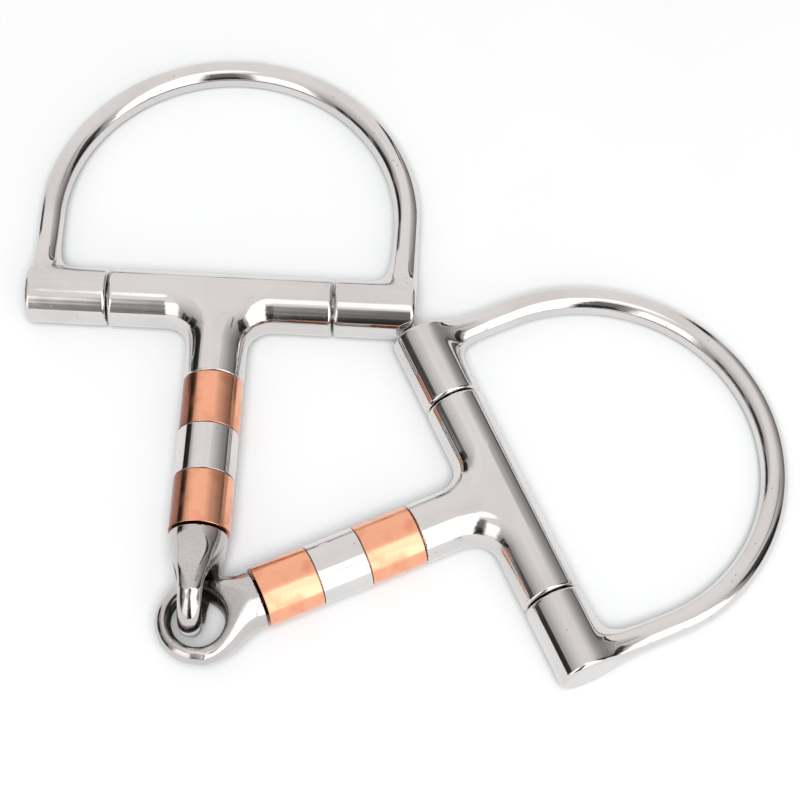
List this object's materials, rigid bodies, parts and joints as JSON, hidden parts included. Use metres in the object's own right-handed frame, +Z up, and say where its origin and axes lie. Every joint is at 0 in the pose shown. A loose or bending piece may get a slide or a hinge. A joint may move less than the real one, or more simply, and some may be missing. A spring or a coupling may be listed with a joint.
{
  "type": "snaffle bit",
  "caption": "Single-jointed D-ring snaffle bit with hinged D cheeks and a roller mouthpiece of copper and steel sleeves.",
  "frame": {"origin": "on the surface that the bit lies on, under the middle of the folded bit", "axes": "+Z up, away from the surface; +X across both cheeks, +Y from the mouthpiece joint towards the left cheek's bow"},
  "size_m": [0.1586, 0.1454, 0.0185],
  "materials": {
    "polished_steel": "mirror-polished stainless steel",
    "copper": "turned copper, polished, lightly tarnished"
  },
  "bodies": {
    "left_cannon": {"left_tee": "polished_steel", "left_eye_spindle": "polished_steel"},
    "right_cannon": {"right_tee": "polished_steel", "right_eye_spindle": "polished_steel"},
    "left_dee": {"left_dee": "polished_steel", "left_hinge_pin": "polished_steel", "left_pin_plug": "polished_steel"},
    "right_dee": {"right_dee": "polished_steel", "right_hinge_pin": "polished_steel", "right_pin_plug": "polished_steel"},
    "left_outer_copper_roller": {"left_outer_copper_roller": "copper"},
    "left_steel_roller": {"left_steel_roller": "polished_steel"},
    "left_inner_copper_roller": {"left_inner_copper_roller": "copper"},
    "right_outer_copper_roller": {"right_outer_copper_roller": "copper"},
    "right_steel_roller": {"right_steel_roller": "polished_steel"},
    "right_inner_copper_roller": {"right_inner_copper_roller": "copper"}
  },
  "joints": [
    {"name": "left_dee_hinge", "type": "hinge", "parent": "left_cannon", "child": "left_dee", "pos_m": [-0.03811, 0.01182, 0.006], "axis": [0.9985, -0.0541, 0], "range_deg": [-115, 115]},
    {"name": "fold", "type": "hinge", "parent": "left_cannon", "child": "right_cannon", "pos_m": [-0.04209, -0.06171, 0.01012], "axis": [0.003, 0.0557, 0.9984], "range_deg": [-230, 0]},
    {"name": "right_dee_hinge", "type": "hinge", "parent": "right_cannon", "child": "right_dee", "pos_m": [0.02019, -0.03306, 0.006], "axis": [0.4099, -0.9121, 0], "range_deg": [-165, 165]},
    {"name": "left_outer_copper_roller_spin", "type": "hinge", "parent": "left_cannon", "child": "left_outer_copper_roller", "pos_m": [-0.03948, -0.01343, 0.00741], "axis": [0.054, 0.997, -0.0558], "continuous": true},
    {"name": "left_steel_roller_spin", "type": "hinge", "parent": "left_cannon", "child": "left_steel_roller", "pos_m": [-0.04008, -0.02457, 0.00804], "axis": [0.054, 0.997, -0.0558], "continuous": true},
    {"name": "left_inner_copper_roller_spin", "type": "hinge", "parent": "left_cannon", "child": "left_inner_copper_roller", "pos_m": [-0.04068, -0.03571, 0.00866], "axis": [0.054, 0.997, -0.0558], "continuous": true},
    {"name": "right_outer_copper_roller_spin", "type": "hinge", "parent": "right_cannon", "child": "right_outer_copper_roller", "pos_m": [-0.0029, -0.04343, 0.00697], "axis": [0.9114, 0.4096, -0.0384], "continuous": true},
    {"name": "right_steel_roller_spin", "type": "hinge", "parent": "right_cannon", "child": "right_steel_roller", "pos_m": [-0.01308, -0.04801, 0.0074], "axis": [0.9114, 0.4096, -0.0384], "continuous": true},
    {"name": "right_inner_copper_roller_spin", "type": "hinge", "parent": "right_cannon", "child": "right_inner_copper_roller", "pos_m": [-0.02327, -0.05259, 0.00783], "axis": [0.9114, 0.4096, -0.0384], "continuous": true}
  ]
}
